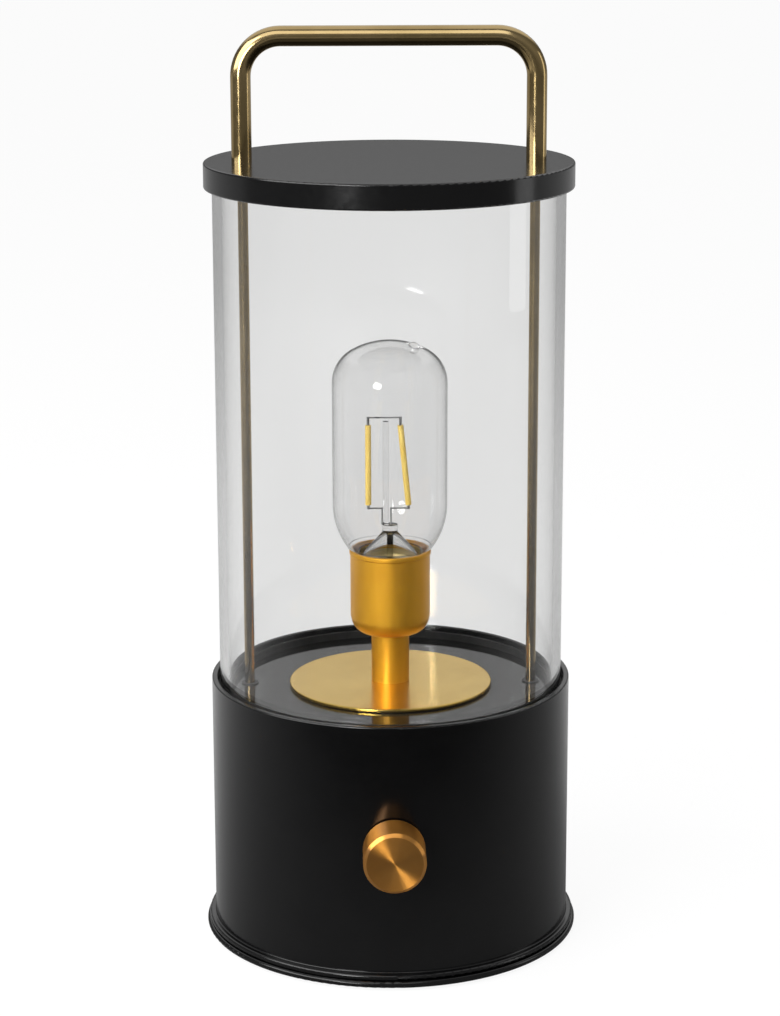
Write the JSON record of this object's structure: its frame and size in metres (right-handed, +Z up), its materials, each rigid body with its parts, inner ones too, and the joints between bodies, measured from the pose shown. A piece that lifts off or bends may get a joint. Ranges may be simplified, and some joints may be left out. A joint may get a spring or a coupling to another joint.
{
  "type": "lantern table lamp",
  "caption": "Portable lantern lamp: black drum base with dimmer knob, clear glass tube around a tubular filament bulb, black lid and bent brass carrying handle.",
  "frame": {"origin": "centre of the underside of the rubber pad that the lamp stands on", "axes": "+Z up along the lamp's own axis, -Y out through the dimmer knob, +X to the right-hand tie rod seen from the knob's side"},
  "size_m": [0.147, 0.1605, 0.355],
  "materials": {
    "body_paint": "satin black powder coat",
    "deck_gloss": "glossy black",
    "clear_glass": "clear, slightly grey at the edges",
    "bulb_glass": "clear, thin",
    "antique_brass": "polished antique brass, lacquered",
    "gold_satin": "satin gold",
    "gold_polished": "polished pale gold",
    "knob_brass": "turned and brushed",
    "cap_metal": "plain brass",
    "steel": "zinc plated",
    "rubber": "matt",
    "black_plastic": "moulded",
    "ceramic": "glazed white",
    "filament_coat": "soft yellow coating",
    "board_green": "circuit board",
    "cell_wrap": "shrink wrap",
    "lead_cover": "wire cover"
  },
  "bodies": {
    "lamp": {"rest_pad": "rubber", "foot_plate": "body_paint", "foot_screws": "steel", "deck_pillars": "steel", "drum_shell": "body_paint", "deck_plate": "deck_gloss", "glass_seat_gasket": "rubber", "glass_tube": "clear_glass", "lid_gasket": "rubber", "lid": "body_paint", "handle": "antique_brass", "tie_rod_left": "antique_brass", "tie_rod_right": "antique_brass", "rod_bushes": "black_plastic", "rod_washers": "steel", "rod_nuts": "steel", "gold_disc": "gold_polished", "holder_stem": "gold_satin", "threaded_pipe": "steel", "pipe_washer": "steel", "pipe_nut": "steel", "holder_cap": "gold_satin", "holder_sleeve": "gold_satin", "holder_insulator": "ceramic", "screw_shell": "cap_metal", "centre_contact": "cap_metal", "dimmer_body": "black_plastic", "dimmer_saddle": "black_plastic", "dimmer_washer": "steel", "dimmer_nut": "steel", "driver_board": "board_green", "board_standoffs": "steel", "board_screws": "steel", "board_inductor": "cap_metal", "board_capacitors": "black_plastic", "board_controller": "black_plastic", "board_terminals": "black_plastic", "battery_tray": "black_plastic", "battery_cells": "cell_wrap", "battery_strap": "black_plastic", "socket_block": "black_plastic", "socket_board": "board_green", "charging_socket": "steel", "socket_tongue": "black_plastic", "lamp_leads": "lead_cover", "dimmer_leads": "lead_cover", "battery_leads": "lead_cover", "charge_leads": "lead_cover"},
    "knob": {"dimmer_knob": "knob_brass", "knob_screw": "steel", "dimmer_shaft": "steel"},
    "bulb_tip": {"bulb_tip": "cap_metal"},
    "bulb": {"bulb_cap": "cap_metal", "bulb_insulator": "black_plastic", "bulb_globe": "bulb_glass", "bulb_stem": "bulb_glass", "filament_left": "filament_coat", "filament_right": "filament_coat", "bulb_wires": "steel"}
  },
  "joints": [
    {"name": "knob_turn", "type": "hinge", "parent": "lamp", "child": "knob", "pos_m": [0, -0.0712, 0.0562], "axis": [0, 1, 0], "range_deg": [0, 300]},
    {"name": "bulb_rise", "type": "slide", "parent": "lamp", "child": "bulb_tip", "axis": [0, 0, 1], "range_m": [0, 0.01455]},
    {"name": "bulb_turn", "type": "hinge", "parent": "bulb_tip", "child": "bulb", "pos_m": [0, 0, 0.1526], "axis": [0, 0, 1], "range_deg": [0, 1440]}
  ],
  "couplings": [
    {"joint": "bulb_rise", "follows": "bulb_turn", "m_per_rad": 0.00057757}
  ]
}
